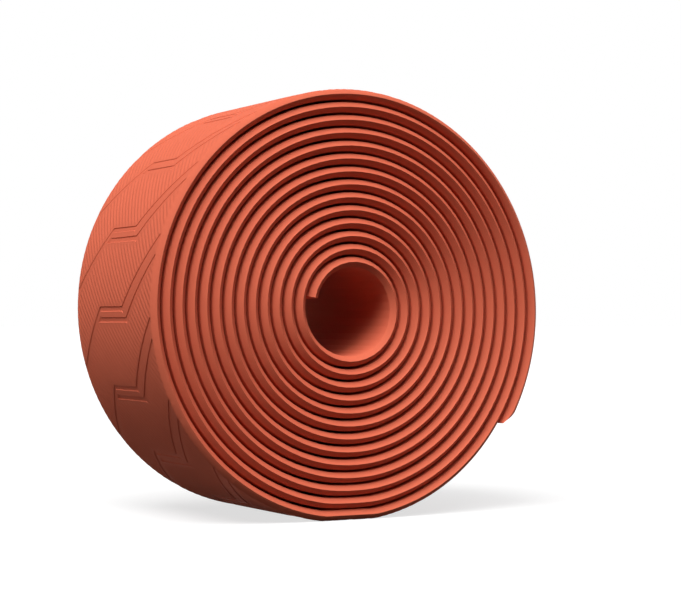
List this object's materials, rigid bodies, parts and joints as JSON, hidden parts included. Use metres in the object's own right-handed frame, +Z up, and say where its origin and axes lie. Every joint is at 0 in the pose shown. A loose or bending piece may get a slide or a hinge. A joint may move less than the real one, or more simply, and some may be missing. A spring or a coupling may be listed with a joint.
{
  "type": "handlebar tape roll",
  "caption": "Long strip of soft embossed foam tape, wound into an open spiral roll around a clear hole, for wrapping a bicycle handlebar.",
  "frame": {"origin": "below the middle of the roll, on the surface that it stands on", "axes": "+Y along the axis of the roll, from its front spiral face to its back one, and +Z up"},
  "size_m": [0.0764, 0.036, 0.0751],
  "materials": {
    "foam": "matte embossed polyurethane foam, terracotta orange"
  },
  "bodies": {
    "root": {"tape_strip": "foam"}
  },
  "joints": []
}
